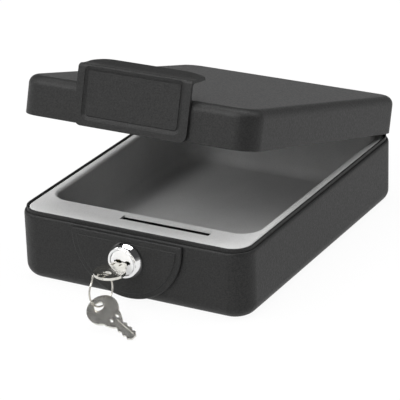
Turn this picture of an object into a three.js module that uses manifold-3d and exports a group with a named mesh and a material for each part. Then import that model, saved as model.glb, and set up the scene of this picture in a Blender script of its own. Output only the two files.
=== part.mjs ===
// Portable car safe with a key lock, lying flat with its lid part open.
// Millimetres, +Z up, the front looks along -Y, the base stands on z = 0 and is centred on x and y.

import * as THREE from 'three';
import { mergeVertices } from 'three/addons/utils/BufferGeometryUtils.js';
import Module from 'manifold-3d';

const wasm = await Module();
wasm.setup();

// Rules of thumb shared by every piece

const GAP = 0.3;
const DEGREE = Math.PI / 180;
const QUARTER = 90 * DEGREE;
const QUARTERS = 4;
const HEXAGON = 6;
const half = (length) => length / 2;

const CORNER_STEPS = 6;
const FILLET_STEPS = 4;
const ROUND_STEPS = 30;
const SMALL_ROUND_STEPS = 12;
const RING_STEPS = 40;
const WIRE_STEPS = 8;
const CUT_OVERRUN = 5;

// Case: two pressed steel pans with a fine parting line

const CASE_WIDTH = 152;
const CASE_DEPTH = 205;
const CASE_CORNER = 14;
const SHEET = 1.2;
const BASE_HEIGHT = 41.6;
const BASE_FILLET = 8;
const LID_HEIGHT = 23.2;
const LID_FILLET = 5.5;
const LID_OPEN = 16.55 * DEGREE;

const SIDE = half(CASE_WIDTH);
const REAR = half(CASE_DEPTH);
const FRONT = -REAR;
const WALL_INSIDE = REAR - SHEET;
const LID_BOTTOM = BASE_HEIGHT + GAP;
const LID_TOP = LID_BOTTOM + LID_HEIGHT;

// Inner rim: a thin steel band standing just inside the wall of the base

const RIM_WIDTH = 1.2;
const RIM_HEIGHT = 5.3;
const RIM_RISE = 2.4;
const RIM_INSET = SHEET + GAP;
const RIM_TOP = BASE_HEIGHT + RIM_RISE;
const RIM_BOTTOM = RIM_TOP - RIM_HEIGHT;

// Foam tray: a soft block that fills the base, with one deep cavity and a slot for the cam

const TRAY_INSET = RIM_INSET + RIM_WIDTH + GAP;
const TRAY_DROP = 0.5;
const TRAY_FLOOR = 4.5;
const TRAY_SIDE_BAND = 5.5;
const TRAY_FRONT_BAND = 22.5;
const TRAY_CAVITY_CORNER = 12;
const TRAY_TOP = RIM_TOP - TRAY_DROP;
const TRAY_BOTTOM = SHEET + GAP;
const TRAY_SIDE = SIDE - TRAY_INSET;
const TRAY_REAR = REAR - TRAY_INSET;

// Lid pad: a flat sheet of foam under the top of the lid

const PAD_THICKNESS = 4;
const PAD_INSET = 5.5;
const PAD_TOP = LID_TOP - SHEET - GAP;

// Lock boss: a half disc on the front of the base, proud of the wall

const BOSS_CENTRE_DROP = 3.3;
const BOSS_TOP_DROP = 1;
const BOSS_FOOT = 1.9;
const BOSS_PROUD = 2.6;
const BOSS_EDGE = 0.8;
const BOSS_EDGE_STEPS = 2;
const BOSS_CENTRE = BASE_HEIGHT - BOSS_CENTRE_DROP;
const BOSS_TOP = BASE_HEIGHT - BOSS_TOP_DROP;
const BOSS_RADIUS = BOSS_CENTRE - BOSS_FOOT;
const BOSS_FRONT = REAR + BOSS_PROUD;
const BOSS_ROOT = REAR - BASE_FILLET - CUT_OVERRUN;

// Lock: a threaded housing through boss and wall, a turning plug, wafers and a hooked cam.
// Distances along the lock are counted forward from the middle of the case.

const LOCK_DROP = 15.2;
const HOUSING_RADIUS = 9.5;
const HOUSING_FLAT = 8.4;
const HOUSING_LENGTH = 17.9;
const FLANGE_LIP = 0.5;
const FLANGE_HEIGHT = 3.9;
const FLANGE_RADIUS = 11.2;
const FLANGE_TOP_RADIUS = 9.2;
const LOCK_HEIGHT = BASE_HEIGHT - LOCK_DROP;
const FLANGE_BACK = BOSS_FRONT + GAP;
const FLANGE_FRONT = FLANGE_BACK + FLANGE_HEIGHT;
const HOUSING_BACK = FLANGE_BACK - HOUSING_LENGTH;
const HEAD_RADIUS = 7.7;
const HEAD_THICKNESS = 1.3;
const HEAD_SINK = 0.2;
const HEAD_FRONT = FLANGE_FRONT - HEAD_SINK;
const HEAD_BACK = HEAD_FRONT - HEAD_THICKNESS;
const BARREL_RADIUS = 6.2;
const BARREL_STAND = 0.5;
const BARREL_BACK = HOUSING_BACK - BARREL_STAND;
const TAIL_WIDTH = 6;

const LOCK_WASHER_RADIUS = 11.4;
const LOCK_WASHER_THICKNESS = 1;
const LOCK_NUT_THICKNESS = 2.5;
const LOCK_NUT_RADIUS = 11.4;

const KEYWAY_WIDTH = 10.6;
const KEYWAY_HEIGHT = 2.5;
const KEYWAY_DEPTH = 14.5;
const KEYWAY_BACK = HEAD_FRONT - KEYWAY_DEPTH;

const WAFER_WIDTH = 11;
const WAFER_HEIGHT = 5;
const WAFER_THICKNESS = 1;
const WAFER_WINDOW_WIDTH = 8;
const WAFER_WINDOW_HEIGHT = 2.8;
const WAFER_PITCH = 2.6;
const WAFER_COUNT = 4;
const WAFER_SETBACK = 2.8;
const WAFER_FIRST = KEYWAY_BACK + WAFER_SETBACK;

const CAM_THICKNESS = 2;
const CAM_HUB_RADIUS = 7.5;
const CAM_ARM_WIDTH = 8;
const CAM_REACH = 30;
const CAM_FINGER_WIDTH = 5;
const CAM_HOOK_UP = 10;
const CAM_HOOK_DOWN = 8;
const CAM_FRONT = BARREL_BACK - GAP;
const CAM_BACK = CAM_FRONT - CAM_THICKNESS;
const CAM_PLANE = -half(CAM_FRONT + CAM_BACK);
const TAIL_SINK = 0.1;
const TAIL_BACK = CAM_BACK + TAIL_SINK;
const CAM_WASHER_RADIUS = 5.5;
const CAM_WASHER_THICKNESS = 0.8;
const CAM_WASHER_FRONT = CAM_BACK - GAP;
const CAM_WASHER_BACK = CAM_WASHER_FRONT - CAM_WASHER_THICKNESS;
const CAM_SCREW_HEAD_RADIUS = 3.8;
const CAM_SCREW_HEAD_HEIGHT = 2.6;
const CAM_SCREW_RADIUS = 1.6;
const CAM_SCREW_GRIP = 4;
const CAM_SCREW_TIP = BARREL_BACK + CAM_SCREW_GRIP;
const CAM_SCREW_HEAD_FRONT = CAM_WASHER_BACK - GAP;
const CAM_SCREW_HEAD_BACK = CAM_SCREW_HEAD_FRONT - CAM_SCREW_HEAD_HEIGHT;
const CAM_SCREW_SLOT_WIDTH = 1;
const CAM_SCREW_SLOT_DEPTH = 1.1;

// Slot and pocket in the front of the tray: the cam swings up through them

const SLOT_LENGTH = 58.3;
const SLOT_WIDTH = 5.4;
const SLOT_OFFSET = 16.15;
const SLOT_LEFT = SLOT_OFFSET - half(SLOT_LENGTH);
const SLOT_RIGHT = SLOT_OFFSET + half(SLOT_LENGTH);

const POCKET_LEFT_ROOM = 7;
const POCKET_RIGHT_ROOM = 1.7;
const POCKET_BACK_ROOM = 1.2;
const POCKET_UNDER_LOCK = 14.4;
const POCKET_ROOF = 1.2;
const POCKET_LEFT = SLOT_LEFT - POCKET_LEFT_ROOM;
const POCKET_RIGHT = SLOT_RIGHT + POCKET_RIGHT_ROOM;
const POCKET_BOTTOM = LOCK_HEIGHT - POCKET_UNDER_LOCK;
const POCKET_BACK = POCKET_BACK_ROOM - CAM_SCREW_HEAD_BACK;

// Pull plate: a bent plate on the front of the lid with a recessed panel and a finger flange

const PLATE_HALF_WIDTH = 36.75;
const PLATE_THICKNESS = 1.7;
const PLATE_OVERHANG = 0.7;
const PLATE_RISE = 11.7;
const PLATE_CORNER = 5;
const PLATE_TOP_ROUND = 2.2;
const PLATE_BACK = FRONT - GAP;
const PLATE_FRONT = PLATE_BACK - PLATE_THICKNESS;
const PLATE_BOTTOM = LID_BOTTOM - PLATE_OVERHANG;
const PLATE_TOP = LID_TOP + PLATE_RISE;

const FLANGE_DEPTH = 15.2;
const FLANGE_CLIMB = 2.1;
const FLANGE_TIP_LOWER = 1.4;
const FLANGE_TIP_BODY = 1.1;
const FLANGE_ROOT_DROP = 1.9;
const FLANGE_ROOT_RADIUS = 1;
const FLANGE_TIP_ROUND = 1.1;
const FLANGE_CORNER = 2;
const FLANGE_END_FALL = 2;
const FLANGE_END_RUN = 20;
const FLANGE_TOP_SHARES = [[0.3, 0.05], [0.55, 0.2], [0.78, 0.58], [0.92, 0.92]];
const FLANGE_TIP = FRONT + FLANGE_DEPTH;
const FLANGE_TIP_TOP = PLATE_TOP + FLANGE_CLIMB;
const FLANGE_TIP_MIDDLE = FLANGE_TIP_TOP - FLANGE_TIP_LOWER;
const FLANGE_TIP_UNDER = FLANGE_TIP_MIDDLE - FLANGE_TIP_BODY;
const FLANGE_ROOT_UNDER = PLATE_TOP - FLANGE_ROOT_DROP;

const PANEL_BORDER = 5.85;
const PANEL_LOWER_BORDER = 5.3;
const PANEL_UPPER_BORDER = 2.6;
const PANEL_DEPTH = 0.9;
const PANEL_CORNER = 2.4;
const PANEL_HALF_WIDTH = PLATE_HALF_WIDTH - PANEL_BORDER;
const PANEL_BOTTOM = PLATE_BOTTOM + PANEL_LOWER_BORDER;
const PANEL_TOP = PLATE_TOP - PANEL_UPPER_BORDER;

const STUD_X = 26;
const STUD_RISE = 9.6;
const STUD_RADIUS = 1.6;
const STUD_END = 0.2;
const STUD_WASHER_RADIUS = 4;
const STUD_WASHER_THICKNESS = 0.8;
const STUD_NUT_RADIUS = 3.6;
const STUD_NUT_THICKNESS = 2;
const STUD_Z = LID_BOTTOM + STUD_RISE;

// Keeper: a steel bracket inside the lid whose ledge the cam hooks over

const KEEPER_THICKNESS = 1.5;
const KEEPER_END = 6;
const KEEPER_HALF_HEIGHT = 5.5;
const KEEPER_HALF_WIDTH = STUD_X + KEEPER_END;
const KEEPER_BOTTOM = STUD_Z - KEEPER_HALF_HEIGHT;
const KEEPER_TOP = STUD_Z + KEEPER_HALF_HEIGHT;
const KEEPER_FRONT = FRONT + SHEET + GAP;
const KEEPER_BACK = KEEPER_FRONT + KEEPER_THICKNESS;
const LEDGE_ROOM = 1;
const LEDGE_LENGTH = 9;
const LEDGE_OVERLAP = 1.5;
const LEDGE_RIGHT = -half(CAM_ARM_WIDTH) - LEDGE_ROOM;
const LEDGE_LEFT = LEDGE_RIGHT - LEDGE_LENGTH;
const LEDGE_BACK = LEDGE_OVERLAP - CAM_BACK;
const LEDGE_TOP = LOCK_HEIGHT + CAM_REACH - CAM_FINGER_WIDTH - GAP;

const STUD_WASHER_NEAR = KEEPER_BACK + GAP;
const STUD_WASHER_FAR = STUD_WASHER_NEAR + STUD_WASHER_THICKNESS;
const STUD_NUT_NEAR = STUD_WASHER_FAR + GAP;
const STUD_NUT_FAR = STUD_NUT_NEAR + STUD_NUT_THICKNESS;
const STUD_TIP = STUD_NUT_FAR + STUD_END;

// Hinge: a long leaf hinge across the back, its barrel outside the case

const HINGE_LENGTH = 120;
const HINGE_HALF_LENGTH = half(HINGE_LENGTH);
const HINGE_KNUCKLES = 5;
const EVERY_OTHER = 2;
const HINGE_THICKNESS = 1.2;
const HINGE_BARREL_RADIUS = 2.2;
const HINGE_PIN_RADIUS = 0.9;
const HINGE_PIN_HEAD_RADIUS = 1.6;
const HINGE_PIN_HEAD_LENGTH = 1.2;
const HINGE_LEAF_HEIGHT = 16;
const HINGE_RELIEF = 0.4;
const HINGE_LEAF_FACE = REAR + GAP;
const HINGE_LEAF_BACK = HINGE_LEAF_FACE + HINGE_THICKNESS;
const HINGE_Y = HINGE_LEAF_FACE + HINGE_BARREL_RADIUS;
const HINGE_Z = BASE_HEIGHT + half(GAP);
const KNUCKLE_PITCH = HINGE_LENGTH / HINGE_KNUCKLES;

const RIVET_END = 10;
const RIVET_PITCH = 28;
const RIVET_EDGE = 2.4;
const RIVET_RISE = 9.8;
const RIVET_DROP = HINGE_LEAF_HEIGHT - RIVET_EDGE;
const RIVET_OUTER = HINGE_HALF_LENGTH - RIVET_END;
const RIVET_INNER = RIVET_OUTER - RIVET_PITCH;
const RIVET_XS = [-RIVET_OUTER, -RIVET_INNER, RIVET_INNER, RIVET_OUTER];
const RIVET_RADIUS = 1.5;
const RIVET_HEAD_RADIUS = 2.6;
const RIVET_HEAD_HEIGHT = 1.2;
const RIVET_CROWN_SHARE = 0.6;
const RIVET_TAIL_RADIUS = 2.4;
const RIVET_TAIL_HEIGHT = 1.2;

// Keys: two copies of one flat key, one in the lock and one on the ring

const KEY_THICKNESS = 1.6;
const BOW_RADIUS = 9.4;
const BOW_HOLE_RADIUS = 2.7;
const BOW_HOLE_OFFSET = 3.3;
const THROAT_WIDTH = 11.6;
const THROAT_END = 9;
const SHOULDER = 14;
const EYE_LENGTH = 2.6;
const EYE_WIDTH = 1.1;
const EYE_MIDDLE = 9.4;
const EYE_OFFSETS = [2.9, -1.4];
const BLADE_WIDTH = 6.8;
const BLADE_TIP = 27;
const TIP_LENGTH = 2.2;
const TIP_WIDTH = 3.4;
const BITE_RADIUS = 1.9;
const BITE_SINK = 1.1;
const BITE_START = 1.2;
const BITE_PITCH = 4;
const BITE_COUNT = 3;
const KEY_STAND = 1.5;
const KEY_BOW_Y = -(KEYWAY_BACK + KEY_STAND + BLADE_TIP);

const RING_RADIUS = 9.5;
const RING_WIRE_RADIUS = 0.6;
const RING_LEFT = 0.15;
const RING_FORWARD = 9.8;
const RING_DROP = 6.89;
const RING_CENTRE = new THREE.Vector3(-RING_LEFT, KEY_BOW_Y - RING_FORWARD, LOCK_HEIGHT - RING_DROP);
const RING_NORMAL = new THREE.Vector3(0.976, -0.205, 0.078);
const RING_START = 79 * DEGREE;
const RING_SWEEP = 346 * DEGREE;
const RING_FLARE = 2.6;
const RING_FLARE_SHARE = 0.07;
const RING_POINTS = 48;

const SPARE_RIGHT = 3.8;
const SPARE_FORWARD = 15.14;
const SPARE_DROP = 16.29;
const SPARE_BOW = new THREE.Vector3(SPARE_RIGHT, KEY_BOW_Y - SPARE_FORWARD, LOCK_HEIGHT - SPARE_DROP);
const SPARE_BLADE = new THREE.Vector3(0.9053, -0.2943, -0.3062);
const SPARE_FACE = new THREE.Vector3(0.0933, -0.5656, 0.8194);

// Surfaces

const BLACK_COAT = { color: 0x232324, roughness: 0.62, metalness: 0 };
const CHROME = { color: 0xd2d2d0, roughness: 0.16, metalness: 1 };
const ZINC = { color: 0x9b9a94, roughness: 0.4, metalness: 1 };
const NICKEL = { color: 0x8e8a7e, roughness: 0.32, metalness: 1 };
const BRASS = { color: 0xb8965a, roughness: 0.35, metalness: 1 };
const FOAM = { color: 0xb9b9b7, roughness: 0.95, metalness: 0 };
const DARK_FOAM = { color: 0x2e2e2f, roughness: 0.95, metalness: 0 };

const X_AXIS = new THREE.Vector3(1, 0, 0);
const Y_AXIS = new THREE.Vector3(0, 1, 0);
const Z_AXIS = new THREE.Vector3(0, 0, 1);

// Solids from geometry, and geometry from solids

function solid(geometry) {
  const bare = geometry.clone();
  bare.deleteAttribute('normal');
  bare.deleteAttribute('uv');
  const welded = mergeVertices(bare);
  const vertProperties = new Float32Array(welded.attributes.position.array);
  const triVerts = new Uint32Array(welded.index.array);
  return new wasm.Manifold(new wasm.Mesh({ numProp: 3, vertProperties, triVerts }));
}

function geometryOf(body) {
  const net = body.getMesh();
  const geometry = new THREE.BufferGeometry();
  geometry.setAttribute('position', new THREE.BufferAttribute(new Float32Array(net.vertProperties), 3));
  geometry.setIndex(new THREE.BufferAttribute(new Uint32Array(net.triVerts), 1));
  geometry.computeVertexNormals();
  return geometry;
}

// Box between two opposite corners
function block(low, high) {
  const geometry = new THREE.BoxGeometry(high.x - low.x, high.y - low.y, high.z - low.z);
  geometry.translate(half(low.x + high.x), half(low.y + high.y), half(low.z + high.z));
  return solid(geometry);
}

const at = (x, y, z) => new THREE.Vector3(x, y, z);

// Closed outline through given points
function polygon(points) {
  return new THREE.Shape(points.map(([u, v]) => new THREE.Vector2(u, v)));
}

// Rectangle with its own radius at each corner, from the right far one anticlockwise
function roundedOutline(left, right, near, far, radii) {
  const corners = [[right, far, -1, -1], [left, far, 1, -1], [left, near, 1, 1], [right, near, -1, 1]];
  const shape = new THREE.Shape();
  corners.forEach(([u, v, inwardU, inwardV], index) => {
    const radius = radii[index];
    if (radius === 0) {
      index === 0 ? shape.moveTo(u, v) : shape.lineTo(u, v);
      return;
    }
    const start = index * QUARTER;
    shape.absarc(u + inwardU * radius, v + inwardV * radius, radius, start, start + QUARTER);
  });
  shape.closePath();
  return shape;
}

function evenOutline(halfWidth, halfDepth, radius) {
  return roundedOutline(-halfWidth, halfWidth, -halfDepth, halfDepth, Array(QUARTERS).fill(radius));
}

// Outline in plan pushed up from one height to another
function rise(shape, bottom, top) {
  const geometry = new THREE.ExtrudeGeometry(shape, {
    depth: top - bottom,
    bevelEnabled: false,
    curveSegments: CORNER_STEPS,
  });
  geometry.translate(0, 0, bottom);
  return solid(geometry);
}

// Outline seen from the front (x, z) pushed back from one y to another
function push(shape, near, far, curveSegments = CORNER_STEPS) {
  const geometry = new THREE.ExtrudeGeometry(shape, { depth: far - near, bevelEnabled: false, curveSegments });
  geometry.rotateX(QUARTER);
  geometry.translate(0, far, 0);
  return solid(geometry);
}

// Outline seen from the side (y, z) pushed across from one x to another
function across(shape, left, right) {
  const geometry = new THREE.ExtrudeGeometry(shape, { depth: right - left, bevelEnabled: false });
  geometry.applyMatrix4(new THREE.Matrix4().makeBasis(Y_AXIS, Z_AXIS, X_AXIS));
  geometry.translate(left, 0, 0);
  return solid(geometry);
}

// Profile of (radius, distance forward) turned about a front-to-back axis
function turned(profile, x, z, steps = ROUND_STEPS) {
  const points = profile.map(([radius, forward]) => new THREE.Vector2(radius, forward));
  const geometry = new THREE.LatheGeometry(points, steps);
  geometry.rotateX(QUARTER + QUARTER);
  geometry.translate(x, 0, z);
  return solid(geometry);
}

function disc(radius, back, front, x, z, steps = ROUND_STEPS) {
  return turned([[0, back], [radius, back], [radius, front], [0, front]], x, z, steps);
}

function washer(inner, outer, back, front, x, z, steps = ROUND_STEPS) {
  const profile = [[inner, back], [outer, back], [outer, front], [inner, front], [inner, back]];
  return turned(profile, x, z, steps);
}

// Rod lying across the case, from left to right
function crossRod(radius, left, right, y, z) {
  const geometry = new THREE.CylinderGeometry(radius, radius, right - left, SMALL_ROUND_STEPS);
  geometry.rotateZ(QUARTER);
  geometry.translate(half(left + right), y, z);
  return solid(geometry);
}

// Solid with rounded plan corners and a rounded lower edge, cut flat at the top
function pan(inset, bottom, top, fillet) {
  const shape = evenOutline(SIDE - inset - fillet, REAR - inset - fillet, CASE_CORNER - inset - fillet);
  const geometry = new THREE.ExtrudeGeometry(shape, {
    depth: top - bottom,
    bevelEnabled: true,
    bevelThickness: fillet,
    bevelSize: fillet,
    bevelSegments: FILLET_STEPS,
    curveSegments: CORNER_STEPS,
  });
  geometry.translate(0, 0, bottom + fillet);
  const cutter = block(at(-CASE_WIDTH, -CASE_DEPTH, top), at(CASE_WIDTH, CASE_DEPTH, top + CASE_WIDTH));
  return solid(geometry).subtract(cutter);
}

// The same solid turned over, so that the rounded edge is at the top
function cover(inset, bottom, top, fillet) {
  const upright = pan(inset, 0, top - bottom, fillet);
  const geometry = geometryOf(upright);
  geometry.rotateX(QUARTER + QUARTER);
  geometry.translate(0, 0, top);
  return solid(geometry);
}

// Base

const lockHole = () => disc(HOUSING_RADIUS + GAP, HOUSING_BACK, FLANGE_FRONT, 0, LOCK_HEIGHT);

function rivetHoles(z) {
  const inner = GAP - WALL_INSIDE;
  const holes = RIVET_XS.map((x) => disc(RIVET_RADIUS + GAP, -HINGE_Y, inner, x, z, SMALL_ROUND_STEPS));
  return holes.reduce((all, hole) => all.add(hole));
}

const caseOutline = (inset) => evenOutline(SIDE - inset, REAR - inset, CASE_CORNER - inset);

function baseShell() {
  const outside = pan(0, 0, BASE_HEIGHT, BASE_FILLET);
  const inside = pan(SHEET, SHEET, BASE_HEIGHT + CUT_OVERRUN, BASE_FILLET - SHEET);
  return outside.subtract(inside).subtract(lockHole()).subtract(rivetHoles(HINGE_Z - RIVET_DROP));
}

function innerRim() {
  const inside = caseOutline(RIM_INSET + RIM_WIDTH);
  const hole = rise(inside, RIM_BOTTOM - CUT_OVERRUN, RIM_TOP + CUT_OVERRUN);
  return rise(caseOutline(RIM_INSET), RIM_BOTTOM, RIM_TOP).subtract(hole);
}

function lockBoss() {
  const radius = BOSS_RADIUS - BOSS_EDGE;
  const top = BOSS_TOP - BOSS_EDGE;
  const lean = Math.asin((top - BOSS_CENTRE) / radius);
  const shape = new THREE.Shape();
  shape.absarc(0, BOSS_CENTRE, radius, QUARTER + QUARTER - lean, QUARTERS * QUARTER + lean);
  shape.closePath();
  const geometry = new THREE.ExtrudeGeometry(shape, {
    depth: BOSS_FRONT - BOSS_ROOT - BOSS_EDGE,
    bevelEnabled: true,
    bevelThickness: BOSS_EDGE,
    bevelSize: BOSS_EDGE,
    bevelSegments: BOSS_EDGE_STEPS,
    curveSegments: ROUND_STEPS,
  });
  geometry.rotateX(QUARTER);
  geometry.translate(0, -BOSS_ROOT, 0);
  const wall = pan(-GAP, -GAP, BASE_HEIGHT + CUT_OVERRUN, BASE_FILLET + GAP);
  return solid(geometry).subtract(wall).subtract(lockHole());
}

function foamTray() {
  const outer = pan(TRAY_INSET, TRAY_BOTTOM, TRAY_TOP, BASE_FILLET - TRAY_INSET);
  const cavitySide = TRAY_SIDE - TRAY_SIDE_BAND;
  const cavityFront = -TRAY_REAR + TRAY_FRONT_BAND;
  const cavityRear = TRAY_REAR - TRAY_SIDE_BAND;
  const corners = Array(QUARTERS).fill(TRAY_CAVITY_CORNER);
  const cavityShape = roundedOutline(-cavitySide, cavitySide, cavityFront, cavityRear, corners);
  const cavity = rise(cavityShape, TRAY_BOTTOM + TRAY_FLOOR, TRAY_TOP + CUT_OVERRUN);
  const pocketTop = TRAY_TOP - POCKET_ROOF;
  const pocket = block(at(POCKET_LEFT, FRONT, POCKET_BOTTOM), at(POCKET_RIGHT, POCKET_BACK, pocketTop));
  const slotNear = CAM_PLANE - half(SLOT_WIDTH);
  const slotFar = CAM_PLANE + half(SLOT_WIDTH);
  const slotLow = at(SLOT_LEFT, slotNear, pocketTop - GAP);
  const slot = block(slotLow, at(SLOT_RIGHT, slotFar, TRAY_TOP + CUT_OVERRUN));
  return outer.subtract(cavity).subtract(pocket).subtract(slot);
}

// Lock

function lockHousing() {
  const profile = [
    [BARREL_RADIUS + GAP, HOUSING_BACK],
    [HOUSING_RADIUS, HOUSING_BACK],
    [HOUSING_RADIUS, FLANGE_BACK],
    [FLANGE_RADIUS, FLANGE_BACK],
    [FLANGE_RADIUS, FLANGE_BACK + FLANGE_LIP],
    [FLANGE_TOP_RADIUS, FLANGE_FRONT],
    [HEAD_RADIUS + GAP, FLANGE_FRONT],
    [HEAD_RADIUS + GAP, HEAD_BACK - GAP],
    [BARREL_RADIUS + GAP, HEAD_BACK - GAP],
    [BARREL_RADIUS + GAP, HOUSING_BACK],
  ];
  const body = turned(profile, 0, LOCK_HEIGHT);
  const near = -FLANGE_BACK;
  const far = -HOUSING_BACK + CUT_OVERRUN;
  const above = LOCK_HEIGHT + HOUSING_FLAT;
  const below = LOCK_HEIGHT - HOUSING_FLAT;
  const over = block(at(-FLANGE_RADIUS, near, above), at(FLANGE_RADIUS, far, above + CUT_OVERRUN));
  const under = block(at(-FLANGE_RADIUS, near, below - CUT_OVERRUN), at(FLANGE_RADIUS, far, below));
  return body.subtract(over).subtract(under);
}

const LOCK_WASHER_FRONT = WALL_INSIDE - GAP;
const LOCK_WASHER_BACK = LOCK_WASHER_FRONT - LOCK_WASHER_THICKNESS;
const LOCK_NUT_FRONT = LOCK_WASHER_BACK - GAP;
const LOCK_NUT_BACK = LOCK_NUT_FRONT - LOCK_NUT_THICKNESS;

function lockWasher() {
  return washer(HOUSING_RADIUS + GAP, LOCK_WASHER_RADIUS, LOCK_WASHER_BACK, LOCK_WASHER_FRONT, 0, LOCK_HEIGHT);
}

function lockNut() {
  const body = disc(LOCK_NUT_RADIUS, LOCK_NUT_BACK, LOCK_NUT_FRONT, 0, LOCK_HEIGHT, HEXAGON);
  return body.subtract(lockHole());
}

const waferStations = Array.from({ length: WAFER_COUNT }, (_, index) => WAFER_FIRST + index * WAFER_PITCH);

// Upright slab across the lock axis, centred on it
function lockSlab(width, height, back, front) {
  const low = at(-half(width), -front, LOCK_HEIGHT - half(height));
  return block(low, at(half(width), -back, LOCK_HEIGHT + half(height)));
}

function lockPlug() {
  const profile = [
    [0, BARREL_BACK],
    [BARREL_RADIUS, BARREL_BACK],
    [BARREL_RADIUS, HEAD_BACK],
    [HEAD_RADIUS, HEAD_BACK],
    [HEAD_RADIUS, HEAD_FRONT],
    [0, HEAD_FRONT],
  ];
  const tail = lockSlab(TAIL_WIDTH, TAIL_WIDTH, TAIL_BACK, BARREL_BACK + CUT_OVERRUN);
  const keyway = lockSlab(KEYWAY_WIDTH, KEYWAY_HEIGHT, KEYWAY_BACK, HEAD_FRONT + CUT_OVERRUN);
  const boreBack = TAIL_BACK - CUT_OVERRUN;
  const bore = disc(CAM_SCREW_RADIUS + GAP, boreBack, CAM_SCREW_TIP + GAP, 0, LOCK_HEIGHT, SMALL_ROUND_STEPS);
  let body = turned(profile, 0, LOCK_HEIGHT).add(tail).subtract(keyway).subtract(bore);
  for (const station of waferStations) {
    const room = half(WAFER_THICKNESS) + GAP;
    const width = BARREL_RADIUS + CUT_OVERRUN;
    body = body.subtract(lockSlab(width + width, WAFER_HEIGHT + GAP + GAP, station - room, station + room));
  }
  return body;
}

function wafer(station) {
  const back = station - half(WAFER_THICKNESS);
  const front = station + half(WAFER_THICKNESS);
  const window = lockSlab(WAFER_WINDOW_WIDTH, WAFER_WINDOW_HEIGHT, back - GAP, front + GAP);
  return lockSlab(WAFER_WIDTH, WAFER_HEIGHT, back, front).subtract(window);
}

// At rest the cam points to +X and lies below the top of the tray
function cam() {
  const hub = disc(CAM_HUB_RADIUS, CAM_BACK, CAM_FRONT, 0, LOCK_HEIGHT);
  const arm = half(CAM_ARM_WIDTH);
  const root = CAM_REACH - CAM_FINGER_WIDTH;
  const outline = polygon([
    [0, LOCK_HEIGHT - arm],
    [root, LOCK_HEIGHT - arm],
    [root, LOCK_HEIGHT - CAM_HOOK_DOWN],
    [CAM_REACH, LOCK_HEIGHT - CAM_HOOK_DOWN],
    [CAM_REACH, LOCK_HEIGHT + CAM_HOOK_UP],
    [root, LOCK_HEIGHT + CAM_HOOK_UP],
    [root, LOCK_HEIGHT + arm],
    [0, LOCK_HEIGHT + arm],
  ]);
  const hole = lockSlab(TAIL_WIDTH + GAP + GAP, TAIL_WIDTH + GAP + GAP, CAM_BACK - GAP, CAM_FRONT + GAP);
  return hub.add(push(outline, -CAM_FRONT, -CAM_BACK)).subtract(hole);
}

function camWasher() {
  const inner = CAM_SCREW_RADIUS + GAP;
  return washer(inner, CAM_WASHER_RADIUS, CAM_WASHER_BACK, CAM_WASHER_FRONT, 0, LOCK_HEIGHT);
}

function camScrew() {
  const profile = [
    [0, CAM_SCREW_HEAD_BACK],
    [CAM_SCREW_HEAD_RADIUS, CAM_SCREW_HEAD_BACK],
    [CAM_SCREW_HEAD_RADIUS, CAM_SCREW_HEAD_FRONT],
    [CAM_SCREW_RADIUS, CAM_SCREW_HEAD_FRONT],
    [CAM_SCREW_RADIUS, CAM_SCREW_TIP],
    [0, CAM_SCREW_TIP],
  ];
  const length = CAM_SCREW_HEAD_RADIUS + CUT_OVERRUN;
  const slotFloor = CAM_SCREW_HEAD_BACK + CAM_SCREW_SLOT_DEPTH;
  const slot = lockSlab(length + length, CAM_SCREW_SLOT_WIDTH, CAM_SCREW_HEAD_BACK - GAP, slotFloor);
  return turned(profile, 0, LOCK_HEIGHT).subtract(slot);
}

// Lid, drawn shut

const studs = [-STUD_X, STUD_X];

function studHoles(near, far) {
  const holes = studs.map((x) => disc(STUD_RADIUS + GAP, -far, -near, x, STUD_Z, SMALL_ROUND_STEPS));
  return holes[0].add(holes[1]);
}

function lidShell() {
  const outside = cover(0, LID_BOTTOM, LID_TOP, LID_FILLET);
  const inside = cover(SHEET, LID_BOTTOM - CUT_OVERRUN, LID_TOP - SHEET, LID_FILLET - SHEET);
  const bare = outside.subtract(inside).subtract(rivetHoles(HINGE_Z + RIVET_RISE));
  return bare.subtract(studHoles(PLATE_FRONT, STUD_TIP));
}

function lidPad() {
  return rise(caseOutline(PAD_INSET), PAD_TOP - PAD_THICKNESS, PAD_TOP);
}

function platePoints() {
  const crest = FLANGE_TIP - FLANGE_TIP_ROUND;
  const edge = PLATE_FRONT + PLATE_TOP_ROUND;
  const bend = Math.cos(half(QUARTER));
  const tipCut = FLANGE_TIP_ROUND - FLANGE_TIP_ROUND * bend;
  const run = crest - edge;
  const top = FLANGE_TOP_SHARES.map(([along, up]) => [edge + run * along, PLATE_TOP + FLANGE_CLIMB * up]);
  return [
    [PLATE_FRONT, PLATE_BOTTOM],
    [PLATE_BACK, PLATE_BOTTOM],
    [PLATE_BACK, FLANGE_ROOT_UNDER - FLANGE_ROOT_RADIUS],
    [PLATE_BACK + FLANGE_ROOT_RADIUS, FLANGE_ROOT_UNDER],
    [FLANGE_TIP, FLANGE_TIP_UNDER],
    [FLANGE_TIP, FLANGE_TIP_MIDDLE],
    [FLANGE_TIP - tipCut, FLANGE_TIP_TOP - tipCut],
    [crest, FLANGE_TIP_TOP],
    ...top.reverse(),
    [edge, PLATE_TOP],
    [edge - PLATE_TOP_ROUND * bend, PLATE_TOP - PLATE_TOP_ROUND + PLATE_TOP_ROUND * bend],
    [PLATE_FRONT, PLATE_TOP - PLATE_TOP_ROUND],
  ];
}

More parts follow.
